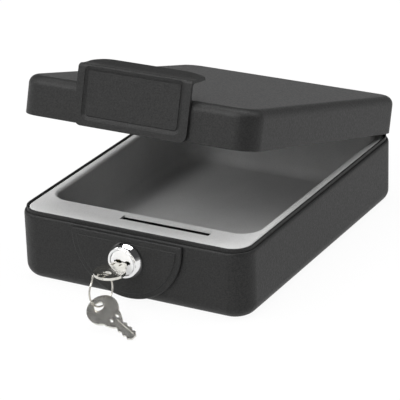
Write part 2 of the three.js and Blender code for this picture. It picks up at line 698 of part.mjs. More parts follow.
// Outline of the plate from the front: round lower corners, and a top that falls towards both ends
function plateFace() {
  const shape = new THREE.Shape();
  const level = FLANGE_TIP_TOP - FLANGE_END_FALL;
  const shoulder = PLATE_HALF_WIDTH - FLANGE_END_RUN;
  const corner = PLATE_HALF_WIDTH - PLATE_CORNER;
  const low = PLATE_BOTTOM + PLATE_CORNER;
  const straight = QUARTER + QUARTER;
  shape.absellipse(shoulder, level, FLANGE_END_RUN, FLANGE_END_FALL, 0, QUARTER);
  shape.absellipse(-shoulder, level, FLANGE_END_RUN, FLANGE_END_FALL, QUARTER, straight);
  shape.absarc(-corner, low, PLATE_CORNER, straight, straight + QUARTER);
  shape.absarc(corner, low, PLATE_CORNER, straight + QUARTER, straight + straight);
  shape.closePath();
  return shape;
}

function pullPlate() {
  const side = across(polygon(platePoints()), -PLATE_HALF_WIDTH, PLATE_HALF_WIDTH);
  const plan = [FLANGE_CORNER, FLANGE_CORNER, 0, 0];
  const above = roundedOutline(-PLATE_HALF_WIDTH, PLATE_HALF_WIDTH, PLATE_FRONT, FLANGE_TIP, plan);
  const panelRadii = [0, 0, PANEL_CORNER, PANEL_CORNER];
  const panel = roundedOutline(-PANEL_HALF_WIDTH, PANEL_HALF_WIDTH, PANEL_BOTTOM, PANEL_TOP, panelRadii);
  let body = side.intersect(push(plateFace(), PLATE_FRONT - CUT_OVERRUN, FLANGE_TIP + CUT_OVERRUN));
  body = body.intersect(rise(above, PLATE_BOTTOM - CUT_OVERRUN, FLANGE_TIP_TOP + CUT_OVERRUN));
  body = body.subtract(push(panel, PLATE_FRONT - CUT_OVERRUN, PLATE_FRONT + PANEL_DEPTH));
  for (const x of studs) {
    body = body.add(disc(STUD_RADIUS, -STUD_TIP, -PLATE_BACK + half(GAP), x, STUD_Z, SMALL_ROUND_STEPS));
  }
  return body;
}

function keeperBracket() {
  const low = at(-KEEPER_HALF_WIDTH, KEEPER_FRONT, KEEPER_BOTTOM);
  const plate = block(low, at(KEEPER_HALF_WIDTH, KEEPER_BACK, KEEPER_TOP));
  const ledgeBottom = LEDGE_TOP - KEEPER_THICKNESS;
  const ledge = block(at(LEDGE_LEFT, KEEPER_FRONT, ledgeBottom), at(LEDGE_RIGHT, LEDGE_BACK, LEDGE_TOP));
  return plate.add(ledge).subtract(studHoles(FRONT, STUD_TIP));
}

function studWasher(x) {
  const inner = STUD_RADIUS + GAP;
  return washer(inner, STUD_WASHER_RADIUS, -STUD_WASHER_FAR, -STUD_WASHER_NEAR, x, STUD_Z, SMALL_ROUND_STEPS);
}

function studNut(x) {
  const body = disc(STUD_NUT_RADIUS, -STUD_NUT_FAR, -STUD_NUT_NEAR, x, STUD_Z, HEXAGON);
  return body.subtract(studHoles(STUD_NUT_NEAR - GAP, STUD_NUT_FAR + GAP));
}

// Hinge

function knuckleSpan(index) {
  const start = -HINGE_HALF_LENGTH + index * KNUCKLE_PITCH;
  return [start + half(GAP), start + KNUCKLE_PITCH - half(GAP)];
}

// A leaf with every second knuckle; its plate runs away from the barrel in the given direction
function hingeLeaf(first, direction) {
  const near = HINGE_Z + direction * (HINGE_BARREL_RADIUS + HINGE_RELIEF);
  const far = HINGE_Z + direction * HINGE_LEAF_HEIGHT;
  const slab = (left, right, from, to) => {
    const low = at(left, HINGE_LEAF_FACE, Math.min(from, to));
    return block(low, at(right, HINGE_LEAF_BACK, Math.max(from, to)));
  };
  let body = slab(-HINGE_HALF_LENGTH, HINGE_HALF_LENGTH, near, far);
  for (let index = first; index < HINGE_KNUCKLES; index += EVERY_OTHER) {
    const [left, right] = knuckleSpan(index);
    body = body.add(slab(left, right, HINGE_Z, near));
    body = body.add(crossRod(HINGE_BARREL_RADIUS, left, right, HINGE_Y, HINGE_Z));
  }
  const reach = HINGE_HALF_LENGTH + CUT_OVERRUN;
  body = body.subtract(crossRod(HINGE_PIN_RADIUS + GAP, -reach, reach, HINGE_Y, HINGE_Z));
  return body.subtract(rivetHoles(HINGE_Z + (direction < 0 ? -RIVET_DROP : RIVET_RISE)));
}

function hingePin() {
  const end = HINGE_HALF_LENGTH + half(GAP) + HINGE_PIN_HEAD_LENGTH;
  const inner = HINGE_HALF_LENGTH + half(GAP);
  const shaft = crossRod(HINGE_PIN_RADIUS, -end, end, HINGE_Y, HINGE_Z);
  const left = crossRod(HINGE_PIN_HEAD_RADIUS, -end, -inner, HINGE_Y, HINGE_Z);
  const right = crossRod(HINGE_PIN_HEAD_RADIUS, inner, end, HINGE_Y, HINGE_Z);
  return shaft.add(left).add(right);
}

function rivet(x, z) {
  const headFace = -HINGE_LEAF_BACK - GAP;
  const headTop = headFace - RIVET_HEAD_HEIGHT;
  const tailFace = -WALL_INSIDE + GAP;
  const profile = [
    [0, headTop],
    [RIVET_HEAD_RADIUS * RIVET_CROWN_SHARE, headTop],
    [RIVET_HEAD_RADIUS, headFace],
    [RIVET_RADIUS, headFace],
    [RIVET_RADIUS, tailFace],
    [RIVET_TAIL_RADIUS, tailFace],
    [RIVET_TAIL_RADIUS, tailFace + RIVET_TAIL_HEIGHT],
    [0, tailFace + RIVET_TAIL_HEIGHT],
  ];
  return turned(profile, x, z, SMALL_ROUND_STEPS);
}

// Keys, drawn flat with the bow at the origin and the blade along +X

function keyBlank() {
  const low = -half(KEY_THICKNESS);
  const high = half(KEY_THICKNESS);
  const upright = (radius, x, y, bottom, top) => {
    const geometry = new THREE.CylinderGeometry(radius, radius, top - bottom, ROUND_STEPS);
    geometry.rotateX(QUARTER);
    geometry.translate(x, y, half(top + bottom));
    return solid(geometry);
  };
  const blade = half(BLADE_WIDTH);
  const throat = half(THROAT_WIDTH);
  const outline = polygon([
    [0, -throat],
    [THROAT_END, -throat],
    [SHOULDER, -blade],
    [BLADE_TIP - TIP_LENGTH, -blade],
    [BLADE_TIP, -half(TIP_WIDTH)],
    [BLADE_TIP, half(TIP_WIDTH)],
    [BLADE_TIP - TIP_LENGTH, blade],
    [SHOULDER, blade],
    [THROAT_END, throat],
    [0, throat],
  ]);
  let body = upright(BOW_RADIUS, 0, 0, low, high).add(rise(outline, low, high));
  body = body.subtract(upright(BOW_HOLE_RADIUS, -BOW_HOLE_OFFSET, 0, low - GAP, high + GAP));
  for (let index = 0; index < BITE_COUNT; index += 1) {
    const x = SHOULDER + BITE_START + index * BITE_PITCH;
    for (const side of [-1, 1]) {
      body = body.subtract(upright(BITE_RADIUS, x, side * (blade + BITE_SINK), low - GAP, high + GAP));
    }
  }
  const eyeReach = half(EYE_LENGTH);
  for (const offset of EYE_OFFSETS) {
    const near = at(EYE_MIDDLE - eyeReach, offset - half(EYE_WIDTH), low - GAP);
    body = body.subtract(block(near, at(EYE_MIDDLE + eyeReach, offset + half(EYE_WIDTH), high + GAP)));
  }
  return body;
}

function placedKey(blade, face, bow) {
  const sideways = new THREE.Vector3().crossVectors(face, blade).normalize();
  const flat = new THREE.Vector3().crossVectors(blade, sideways).normalize();
  const frame = new THREE.Matrix4().makeBasis(blade.clone().normalize(), sideways, flat).setPosition(bow);
  return geometryOf(keyBlank()).applyMatrix4(frame);
}

// An open ring of round wire whose free end stands off it
function keyRing() {
  const normal = RING_NORMAL.clone().normalize();
  const forward = new THREE.Vector3().crossVectors(normal, Z_AXIS).normalize();
  const upward = new THREE.Vector3().crossVectors(forward, normal).normalize();
  const points = Array.from({ length: RING_POINTS + 1 }, (_, index) => {
    const share = index / RING_POINTS;
    const angle = RING_START + RING_SWEEP * share;
    const flare = Math.max(0, share - 1 + RING_FLARE_SHARE) / RING_FLARE_SHARE;
    const radius = RING_RADIUS + RING_FLARE * flare * flare;
    const point = RING_CENTRE.clone().addScaledVector(forward, radius * Math.cos(angle));
    return point.addScaledVector(upward, radius * Math.sin(angle));
  });
  const wire = new THREE.Shape();
  wire.absarc(0, 0, RING_WIRE_RADIUS, 0, QUARTERS * QUARTER);
  const geometry = new THREE.ExtrudeGeometry(wire, {
    steps: RING_STEPS,
    curveSegments: WIRE_STEPS,
    bevelEnabled: false,
    extrudePath: new THREE.CatmullRomCurve3(points),
  });
  return geometryOf(solid(geometry));
}

// Assembly

const object = new THREE.Group();
object.name = 'portable_car_safe';

function place(name, surface, geometry) {
  const mesh = new THREE.Mesh(geometry, new THREE.MeshStandardMaterial(surface));
  mesh.name = name;
  object.add(mesh);
}

const placeFixed = (name, surface, body) => place(name, surface, geometryOf(body));

// Pieces of the lid are drawn shut and swung open about the hinge
function placeOnLid(name, surface, body) {
  const geometry = geometryOf(body);
  geometry.translate(0, -HINGE_Y, -HINGE_Z);
  geometry.rotateX(-LID_OPEN);
  geometry.translate(0, HINGE_Y, HINGE_Z);
  place(name, surface, geometry);
}

placeFixed('base_shell', BLACK_COAT, baseShell());
placeFixed('inner_rim', BLACK_COAT, innerRim());
placeFixed('lock_boss', BLACK_COAT, lockBoss());
placeFixed('foam_tray', FOAM, foamTray());
placeFixed('hinge_leaf_base', BLACK_COAT, hingeLeaf(0, -1));
placeFixed('hinge_pin', ZINC, hingePin());
placeFixed('lock_housing', CHROME, lockHousing());
placeFixed('lock_washer', ZINC, lockWasher());
placeFixed('lock_nut', ZINC, lockNut());

placeOnLid('lid_shell', BLACK_COAT, lidShell());
placeOnLid('lid_pad', DARK_FOAM, lidPad());
placeOnLid('pull_plate', BLACK_COAT, pullPlate());
placeOnLid('keeper_bracket', ZINC, keeperBracket());
placeOnLid('hinge_leaf_lid', BLACK_COAT, hingeLeaf(1, 1));

RIVET_XS.forEach((x, index) => {
  placeFixed(`base_rivet_${index + 1}`, BLACK_COAT, rivet(x, HINGE_Z - RIVET_DROP));
  placeOnLid(`lid_rivet_${index + 1}`, BLACK_COAT, rivet(x, HINGE_Z + RIVET_RISE));
});

studs.forEach((x, index) => {
  placeOnLid(`plate_washer_${index + 1}`, ZINC, studWasher(x));
  placeOnLid(`plate_nut_${index + 1}`, ZINC, studNut(x));
});

placeFixed('lock_plug', CHROME, lockPlug());
waferStations.forEach((station, index) => placeFixed(`wafer_${index + 1}`, BRASS, wafer(station)));
placeFixed('cam', ZINC, cam());
placeFixed('cam_washer', ZINC, camWasher());
placeFixed('cam_screw', ZINC, camScrew());

place('key_in_lock', NICKEL, placedKey(Y_AXIS, Z_AXIS, at(0, KEY_BOW_Y, LOCK_HEIGHT)));
place('key_ring', NICKEL, keyRing());
place('spare_key', NICKEL, placedKey(SPARE_BLADE, SPARE_FACE, SPARE_BOW));

export default object;
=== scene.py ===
import math

import bmesh
import bpy
from mathutils import Matrix, Vector


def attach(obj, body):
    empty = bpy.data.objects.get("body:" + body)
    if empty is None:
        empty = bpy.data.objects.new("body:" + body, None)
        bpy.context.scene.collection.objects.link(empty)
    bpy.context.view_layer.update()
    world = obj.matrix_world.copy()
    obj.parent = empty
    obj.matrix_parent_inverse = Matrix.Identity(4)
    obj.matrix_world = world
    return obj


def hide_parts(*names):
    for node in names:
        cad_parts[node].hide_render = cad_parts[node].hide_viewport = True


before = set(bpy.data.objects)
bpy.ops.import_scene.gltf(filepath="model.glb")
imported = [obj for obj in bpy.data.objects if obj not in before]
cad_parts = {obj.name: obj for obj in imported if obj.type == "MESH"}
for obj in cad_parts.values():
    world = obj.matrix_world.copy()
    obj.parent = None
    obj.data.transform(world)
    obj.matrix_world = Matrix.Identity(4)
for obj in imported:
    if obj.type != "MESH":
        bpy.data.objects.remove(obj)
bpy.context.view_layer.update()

# Sizes are in millimetres until a mesh is made; x runs across the case, y to its back and z up
MM = 0.001

# Case; SIDE and REAR are half its width and half its depth
SIDE, REAR = 76.0, 102.5
CORNER = 14.0
SHEET = 1.2
BASE_TOP, BASE_FILLET = 41.6, 8.0
BASE_LIP, BASE_LIP_HEIGHT = 1.12, 2.4
LID_BOTTOM, LID_TOP, LID_FILLET = 41.9, 65.1, 5.5
LID_LIP, LID_LIP_HEIGHT = 0.6, 0.6
HINGE_Y, HINGE_Z = 105.0, 41.75
LID_OPEN = math.radians(16.55)

# Cutting tools reach from ahead of the case to behind its front wall
AHEAD, BEHIND = -110.0, -80.0

# Inner rim; RIM_OUT and RIM_IN are insets from the outside of the case
RIM_OUT, RIM_IN = 1.5, 2.7
RIM_BOTTOM, RIM_TOP = 38.7, 44.0
RIM_ROUND = 0.5

# Foam tray; areas in plan are (left, right, near, far), and the pocket adds (low, high)
TRAY_INSET = 3.0
TRAY_BOTTOM, TRAY_TOP = 1.5, 43.5
TRAY_FLOOR = 6.0
TRAY_ROUND = 1.5
CAVITY = (-67.5, 67.5, -77.0, 94.0)
CAVITY_CORNER = 12.0
CAVITY_ROLL = 2.4
CAVITY_FILLET = 7.0
SLOT = (-13.0, 45.3, -88.4, -83.0)
SLOT_CORNER, SLOT_UNDER, SLOT_OVER = 0.4, 0.5, 2.0
POCKET = (-20.0, 47.0, -100.0, -79.5, 12.0, 42.3)
# Limits of the pocket faces that get near-black foam as painted shade
POCKET_SHADE_SIDE, POCKET_SHADE_REACH = SIDE - 20.0, 0.1

# Lid pad
PAD_INSET = 5.5
PAD_BOTTOM, PAD_TOP = 59.6, 63.6
PAD_ROUND = 1.6

# Pull plate, drawn on the shut lid; the flange on its top ends in a raised tip
PLATE_X = 36.75
PLATE_FRONT, PLATE_BACK = -104.5, -102.8
PLATE_BOTTOM, PLATE_TOP = 41.2, 76.8
PLATE_BEND, BACK_BEND, BACK_BEND_Z = 2.2, 2.0, 72.9
PLATE_CORNER, PLATE_EDGE = 5.0, 0.4
UNDERSIDE = [(-95.0, 75.5), (-88.0, 76.4)]
TIP_Y, TIP_ROUND = -88.4, 1.1
SWEEP_LENGTH, SWEEP_POWER, SWEEP_STEPS = 13.9, 2.3, 14
LIP_CLIMB, LIP_FALL, LIP_RUN = 2.9, 2.9, 16.0
END_LOW, END_RISE, END_ROUND = 30.0, 3.2, 5.4
FLANGE_END, FLANGE_CORNER = -87.3, 2.0
BELOW_PLATE, ABOVE_PLATE = 38.0, 84.0

# Pressed panel of the plate, seen from the front as (left, right, low, high)
PANEL = (-32.0, 32.0, 45.0, 75.6)
PANEL_UPPER_CORNER, PANEL_LOWER_CORNER, PANEL_LEAST_CORNER = 2.6, 4.6, 0.3
PANEL_SOFT, PANEL_SOFT_FALL = 0.5, 0.35
PANEL_SLOPE, PANEL_DEEP = 1.5, 1.25
CHANNEL_WIDTH, CHANNEL_SIDE, CHANNEL_DEEP = 0.5, 0.35, 0.4

# Studs of the plate, as (radius, y)
STUD = [(0.0, -103.2), (1.6, -103.2), (1.6, -96.2), (1.3, -95.9), (0.0, -95.9)]
STUD_X, STUD_Z = (-26.0, 26.0), 51.5

# Lock boss: a raised face, a step round it, a band and a rounded edge
BOSS_RADIUS, BOSS_CENTRE, BOSS_TOP = 36.4, 38.3, 40.6
BOSS_FRONT, BOSS_BACK = -105.1, -92.0
BOSS_EDGE, BAND_FLAT = 1.0, 0.2
BOSS_STEP, BOSS_RISE = 3.6, 0.6
STEP_FLAT, STEP_ROUND, STEP_FALL, STEP_FOOT = 0.7, 0.5, 0.45, 0.3
BOSS_GAP, ABOVE_BOSS = 0.3, 60.0

# Lock; profiles are (radius, y) about its axis, and the ward is (x, z) from it
LOCK_Z = 26.4
LOCK_BORE = 9.8
COLLAR_BODY = [(6.5, -87.5), (9.5, -87.5), (9.5, -105.4), (11.1, -105.4), (11.2, -105.5),
               (11.16, -105.8)]
CONE_RADIUS, CONE_TAPER, CONE_BULGE = 11.1, 1.6, 0.04
CONE_FOOT, CONE_LENGTH, CONE_STEPS = -106.0, 3.05, 8
COLLAR_MOUTH = [(9.42, -109.12), (9.25, -109.27), (8.9, -109.3), (8.3, -109.3), (8.1, -109.22),
                (8.0, -109.0), (8.0, -107.5), (6.5, -107.5), (6.5, -87.5)]
BARREL = [(0.0, -84.8), (2.9, -84.8), (2.9, -87.0), (6.2, -87.0), (6.2, -107.8), (7.7, -107.8),
          (7.7, -108.9), (7.5, -109.1), (0.0, -109.1)]
WARD = [(-5.3, -0.9), (-4.2, -1.25), (-2.6, -1.25), (-1.9, -0.5), (0.2, -0.5), (0.9, -1.25),
        (3.4, -1.25), (4.1, -0.4), (5.3, -0.4), (5.3, 1.0), (4.2, 1.7), (2.6, 1.7), (1.9, 1.1),
        (-0.6, 1.1), (-1.3, 1.8), (-3.6, 1.8), (-4.3, 1.2), (-5.3, 1.0)]
WARD_FRONT, WARD_BACK = -112.0, -94.6
# Box round the faces of the keyway, which are painted near-black as painted shade
SHADED_WARD_FACES = ((-5.6, 5.6), (-108.95, -94.0), (LOCK_Z - 2.0, LOCK_Z + 2.0))

# Keys, drawn flat from the centre of the bow, with x along the blade
KEY_THICK = 1.6
BOW_RADIUS = 9.4
KEY_OUTLINE = [(0, -5.8), (9.0, -5.8), (14.0, -3.4), (24.8, -3.4), (27.0, -1.7), (27.0, 1.7),
               (24.8, 3.4), (14.0, 3.4), (9.0, 5.8), (0, 5.8)]
KEY_EDGE = 0.22
KEY_CUT = KEY_THICK / 2 + 1
HOLE_RADIUS, HOLE_X = 2.85, -3.3
BITE_RADIUS, BITE_X, BITE_Y = 1.9, (15.2, 19.2, 23.2), 4.5
EYE_X, EYE_Y, EYE_HALF = (8.1, 10.7), (2.9, -1.4), 0.55
GROOVE_X, GROOVE_Y, GROOVE_HALF, GROOVE_FLOOR, GROOVE_TOP = (11.6, 26.2), 0.5, 0.7, 0.55, 1.2
KEY_BOW = (0.0, -123.1, 26.4)
SPARE_BOW = (3.8, -138.24, 10.11)
SPARE_BLADE = (0.9053, -0.2943, -0.3062)
SPARE_FACE = (0.0933, -0.5656, 0.8194)

# Key ring: nearly one turn of wire, whose last part swings outwards
RING_CENTRE = (-0.15, -132.9, 19.51)
RING_NORMAL = (0.976, -0.205, 0.078)
RING_RADIUS, WIRE_RADIUS, WIRE_END = 9.5, 0.56, 0.75
RING_START, RING_SWEEP = math.radians(79), math.radians(346)
RING_STEPS, WIRE_SIDES = 180, 16
FLARE_START, FLARE_SHARE, FLARE_REACH = 0.93, 0.07, 2.6

# Floor and camera
FLOOR_REACH, FLOOR_Z = 6000.0, -0.2
FLOOR_GREY, FLOOR_GLOW_SHARE = 0.88, 0.94
PHOTO_WIDTH = 400
SENSOR = 36.0
FOCAL_PIXELS = 2246.02
CAMERA_PLACE = (610.884, -1102.498, 562.185)
CAMERA_RIGHT = (0.87733154, 0.47899431, -0.02922019)
CAMERA_UP = (-0.16487912, 0.35805806, 0.91902628)
CAMERA_BACK = (0.45067088, -0.80147294, 0.39311179)

# Noise stays mostly between these values
NOISE_LOW, NOISE_HIGH = 0.3, 0.7

# The least radius of a corner and of a turned profile, and in metres how near joined points are
LEAST_CORNER, LEAST_TURNED = 0.02, 1e-4
SAME_POINT, WELD_REACH = 1e-7, 1e-6


# Materials

class Nodes:
    """A material's node tree with short ways to add and join nodes."""

    def __init__(self, name):
        self.material = bpy.data.materials.new(name)
        self.material.use_nodes = True
        self.tree = self.material.node_tree
        self.tree.nodes.clear()
        self.output = self.add("ShaderNodeOutputMaterial")
        self.shader = self.add("ShaderNodeBsdfPrincipled")
        self.join(self.shader, "BSDF", self.output, "Surface")
        self.where = self.add("ShaderNodeTexCoord")

    def add(self, kind, **values):
        node = self.tree.nodes.new(kind)
        for key, value in values.items():
            setattr(node, key, value)
        return node

    def join(self, source, out, target, into):
        self.tree.links.new(source.outputs[out], target.inputs[into])

    def noise(self, scale, detail, roughness, stretch=None):
        node = self.add("ShaderNodeTexNoise")
        node.inputs["Scale"].default_value = scale
        node.inputs["Detail"].default_value = detail
        node.inputs["Roughness"].default_value = roughness
        if stretch:
            stretched = self.add("ShaderNodeMapping")
            stretched.inputs["Scale"].default_value = stretch
            self.join(self.where, "Object", stretched, "Vector")
            self.join(stretched, "Vector", node, "Vector")
        else:
            self.join(self.where, "Object", node, "Vector")
        return node

    def ramp(self, noise, low, high, start=NOISE_LOW, end=NOISE_HIGH):
        """Turns noise between start and end into colours from low to high."""
        node = self.add("ShaderNodeValToRGB")
        node.color_ramp.elements[0].position = start
        node.color_ramp.elements[1].position = end
        node.color_ramp.elements[0].color = (*low, 1.0)
        node.color_ramp.elements[1].color = (*high, 1.0)
        self.join(noise, "Fac", node, "Fac")
        return node

    def vary_roughness(self, noise, low, high):
        """Lets noise move the roughness between low and high."""
        node = self.add("ShaderNodeMapRange")
        node.inputs["From Min"].default_value = NOISE_LOW
        node.inputs["From Max"].default_value = NOISE_HIGH
        node.inputs["To Min"].default_value = low
        node.inputs["To Max"].default_value = high
        self.join(noise, "Fac", node, "Value")
        self.join(node, "Result", self.shader, "Roughness")

    def bump(self, noise, distance, strength, under=None):
        """Raises the surface by noise, on top of another bump where one is given."""
        node = self.add("ShaderNodeBump")
        node.inputs["Distance"].default_value = distance
        node.inputs["Strength"].default_value = strength
        self.join(noise, "Fac", node, "Height")
        if under:
            self.join(under, "Normal", node, "Normal")
        self.join(node, "Normal", self.shader, "Normal")
        return node


def black_coat():
    """Matt black powder coat: a pebbled skin, speckled where the pebbles catch the light."""
    m = Nodes("black_powder_coat")
    speck = m.noise(scale=1150.0, detail=3.0, roughness=0.7)
    dark, bright = (0.0075, 0.0075, 0.0075), (0.0205, 0.0205, 0.0202)
    m.join(m.ramp(speck, dark, bright, start=0.36, end=0.64), "Color", m.shader, "Base Color")
    m.shader.inputs["Specular IOR Level"].default_value = 0.28
    grain = m.noise(scale=700.0, detail=3.0, roughness=0.6)
    m.vary_roughness(grain, 0.45, 0.57)
    pebbles = m.noise(scale=1700.0, detail=2.0, roughness=0.5)
    coarse = m.bump(grain, distance=0.0002, strength=0.6)
    m.bump(pebbles, distance=0.00009, strength=0.7, under=coarse)
    return m.material


def foam(name, low, high):
    """Foam with closed skin: tiny cells and a faint mottle."""
    m = Nodes(name)
    mottle = m.noise(scale=30.0, detail=5.0, roughness=0.6)
    cells = m.noise(scale=1300.0, detail=2.0, roughness=0.6)
    mix = m.add("ShaderNodeMix", data_type="RGBA", blend_type="MULTIPLY")
    mix.inputs["Factor"].default_value = 0.7
    m.join(m.ramp(mottle, low, high), "Color", mix, 6)
    m.join(m.ramp(cells, (0.86, 0.86, 0.86), (1.0, 1.0, 1.0), end=0.52), "Color", mix, 7)
    m.join(mix, 2, m.shader, "Base Color")
    m.shader.inputs["Specular IOR Level"].default_value = 0.15
    m.shader.inputs["Sheen Weight"].default_value = 0.1
    m.vary_roughness(mottle, 0.9, 1.0)
    m.bump(cells, distance=0.00012, strength=0.5)
    return m.material


def chrome(name, rough, dark=0.78, bright=0.86, metallic=1.0):
    """Smooth metal with a faint haze and fine wipe marks."""
    m = Nodes(name)
    haze = m.noise(scale=160.0, detail=4.0, roughness=0.55)
    tone = m.ramp(haze, (dark, dark, dark), (bright, bright, bright))
    m.join(tone, "Color", m.shader, "Base Color")
    m.shader.inputs["Metallic"].default_value = metallic
    m.vary_roughness(haze, *rough)
    wipes = m.noise(scale=900.0, detail=2.0, roughness=0.5, stretch=(1.0, 1.0, 0.12))
    m.bump(wipes, distance=0.000006, strength=0.3)
    return m.material


def worn_metal(name, dark, bright, rough, stretch, depth=0.00002):
    """Plated steel or brass with cloudy tarnish; rub marks run where the stretch is small."""
    m = Nodes(name)
    clouds = m.noise(scale=220.0, detail=5.0, roughness=0.6)
    m.join(m.ramp(clouds, dark, bright), "Color", m.shader, "Base Color")
    m.shader.inputs["Metallic"].default_value = 1.0
    rubs = m.noise(scale=1400.0, detail=3.0, roughness=0.6, stretch=stretch)
    m.vary_roughness(rubs, *rough)
    m.bump(rubs, distance=depth, strength=0.5)
    return m.material


COAT = black_coat()
FOAM = foam("grey_foam", (0.565, 0.565, 0.561), (0.625, 0.625, 0.621))
# Near-black foam: the lid pad's own colour, and painted shade on the walls of the pocket
DARK_FOAM_AND_SHADE = foam("charcoal_foam_and_painted_shade", (0.01, 0.01, 0.0102), (0.014, 0.014, 0.0142))
CHROME = chrome("polished_chrome", rough=(0.05, 0.1))
SATIN = chrome("satin_chrome", rough=(0.42, 0.5), dark=0.8, bright=0.9, metallic=0.3)
# Near-black, non-metal finish for the faces of the keyway: painted shade in the slit
KEYWAY_SHADE = chrome("keyway_painted_shade", rough=(0.6, 0.7), dark=0.006, bright=0.01, metallic=0.0)
ZINC = worn_metal("zinc_plate", (0.36, 0.36, 0.34), (0.52, 0.51, 0.48),
                  rough=(0.3, 0.48), stretch=(1.0, 0.2, 1.0))
NICKEL = worn_metal("worn_nickel", (0.56, 0.545, 0.505), (0.78, 0.77, 0.73),
                    rough=(0.12, 0.24), stretch=(0.25, 1.0, 1.0), depth=0.000006)
WIRE = worn_metal("nickel_wire", (0.42, 0.4, 0.35), (0.66, 0.64, 0.6),
                  rough=(0.16, 0.3), stretch=(1.0, 1.0, 0.3))
BRASS = worn_metal("stamped_brass", (0.45, 0.3, 0.11), (0.62, 0.45, 0.19),
                   rough=(0.28, 0.42), stretch=(1.0, 1.0, 0.3))


# Outlines and loops

def quarter(steps):
    """Angles of a quarter turn."""
    return [math.pi / 2 * k / steps for k in range(steps + 1)]


def circle(radius, steps):
    """Points of a circle about zero."""
    turns = [2 * math.pi * k / steps for k in range(steps)]
    return [(radius * math.cos(a), radius * math.sin(a)) for a in turns]


def arc(centre, radius, start, end, steps):
    """Points of an arc between two angles in degrees."""
    out = []
    for k in range(steps + 1):
        a = math.radians(start + (end - start) * k / steps)
        out.append((centre[0] + radius * math.cos(a), centre[1] + radius * math.sin(a)))
    return out


def rounded_outline(bounds, radii, steps):
    """Rectangle with a radius at each corner, anticlockwise from the right high one."""
    left, right, low, high = bounds
    corners = ((right, high, -1, -1), (left, high, 1, -1), (left, low, 1, 1), (right, low, -1, 1))
    out = []
    for index, (u, v, inward_u, inward_v) in enumerate(corners):
        r = max(radii[index], LEAST_CORNER)
        for step in range(steps + 1):
            a = math.pi / 2 * (index + step / steps)
            out.append((u + inward_u * r + r * math.cos(a), v + inward_v * r + r * math.sin(a)))
    return out


def plan_loop(bounds, radius, z, steps=14):
    """Rounded rectangle in plan at one height."""
    return [(x, y, z) for x, y in rounded_outline(bounds, (radius,) * 4, steps)]


def front_loop(bounds, radii, y, steps=8):
    """Rounded rectangle seen from the front at one depth."""
    return [(x, y, z) for x, z in rounded_outline(bounds, radii, steps)]


def case_loop(inset, z):
    """Outline of the case in plan, set in from its outside."""
    bounds = (-SIDE + inset, SIDE - inset, -REAR + inset, REAR - inset)
    return plan_loop(bounds, CORNER - inset, z)


def pan_loops(bottom, top, fillet, lip, lip_height):
    """Loops of a pan from under its floor, up the outside, over its lip and down the inside."""
    loops = [case_loop(fillet - fillet * math.sin(a), bottom + fillet - fillet * math.cos(a))
             for a in quarter(10)]
    loops += [case_loop(lip - lip * math.cos(a), top - lip_height + lip_height * math.sin(a))
              for a in quarter(6)]
    loops.append(case_loop(SHEET, top))
    inner = fillet - SHEET
    level = bottom + SHEET
    loops += [case_loop(fillet - inner * math.cos(a), level + inner - inner * math.sin(a))
              for a in quarter(8)]
    return loops


# Mesh making

HINGE = Vector((0.0, HINGE_Y, HINGE_Z)) * MM
LID_TURN = (Matrix.Translation(HINGE) @ Matrix.Rotation(-LID_OPEN, 4, "X")
            @ Matrix.Translation(-HINGE))


def lid_rest(point):
    """Moves a point of the shut lid to where the open lid holds it."""
    y, z = point[1] - HINGE_Y, point[2] - HINGE_Z
    c, s = math.cos(LID_OPEN), math.sin(LID_OPEN)
    return point[0], HINGE_Y + y * c + z * s, HINGE_Z - y * s + z * c


def make(name, points, faces, place=None):
    """A mesh object in metres, with double points joined and its faces turned outwards."""
    mesh = bpy.data.meshes.new(name)
    if place:
        points = [place(p) for p in points]
    mesh.from_pydata([Vector(p) * MM for p in points], [], faces)
    solid = bmesh.new()
    solid.from_mesh(mesh)
    bmesh.ops.remove_doubles(solid, verts=solid.verts, dist=SAME_POINT)
    bmesh.ops.recalc_face_normals(solid, faces=solid.faces)
    solid.to_mesh(mesh)
    solid.free()
    made = bpy.data.objects.new(name, mesh)
    bpy.context.scene.collection.objects.link(made)
    return made


def loft(name, loops, place=None, ring=False):
    """Skin through loops of equal length; its ends are capped, or joined where it is a ring."""
    count = len(loops[0])
    rows = len(loops)
    points = [p for loop in loops for p in loop]
    faces = []
    for row in range(rows if ring else rows - 1):
        after = (row + 1) % rows
        for k in range(count):
            n = (k + 1) % count
            faces.append((row * count + k, row * count + n, after * count + n, after * count + k))
    if not ring:
        faces.append(tuple(range(count)))
        faces.append(tuple(range((rows - 1) * count, rows * count)))
    return make(name, points, faces, place)


def box(name, x0, x1, y0, y1, z0, z1):
    """Block between three pairs of limits."""
    points = [(x, y, z) for x in (x0, x1) for y in (y0, y1) for z in (z0, z1)]
    faces = [(0, 1, 3, 2), (4, 6, 7, 5), (0, 4, 5, 1), (2, 3, 7, 6), (0, 2, 6, 4), (1, 5, 7, 3)]
    return make(name, points, faces)


def disc(name, radius, x, y, low, high, steps):
    """Flat round slab between two heights."""
    rim = circle(radius, steps)
    return loft(name, [[(x + u, y + v, z) for u, v in rim] for z in (low, high)])


def turned(name, profile, x=0.0, z=LOCK_Z, steps=96):
    """Profile of (radius, y) turned about a front-to-back axis, by default that of the lock.

    The profile starts and ends on the axis, or closes on itself.
    """
    closed = profile[0] == profile[-1]
    rows = profile[:-1] if closed else profile
    loops = [[(x + u, y, z + v) for u, v in circle(max(radius, LEAST_TURNED), steps)]
             for radius, y in rows]
    return loft(name, loops, ring=closed)


def lock_hole(back):
    """The tool that cuts the hole for the lock, from ahead of the case to a depth."""
    return turned("hole", [(0.0, AHEAD), (LOCK_BORE, AHEAD), (LOCK_BORE, back), (0.0, back)])


def settle(piece):
    """Makes the modifiers of a piece part of its mesh."""
    graph = bpy.context.evaluated_depsgraph_get()
    mesh = bpy.data.meshes.new_from_object(piece.evaluated_get(graph))
    piece.modifiers.clear()
    piece.data = mesh


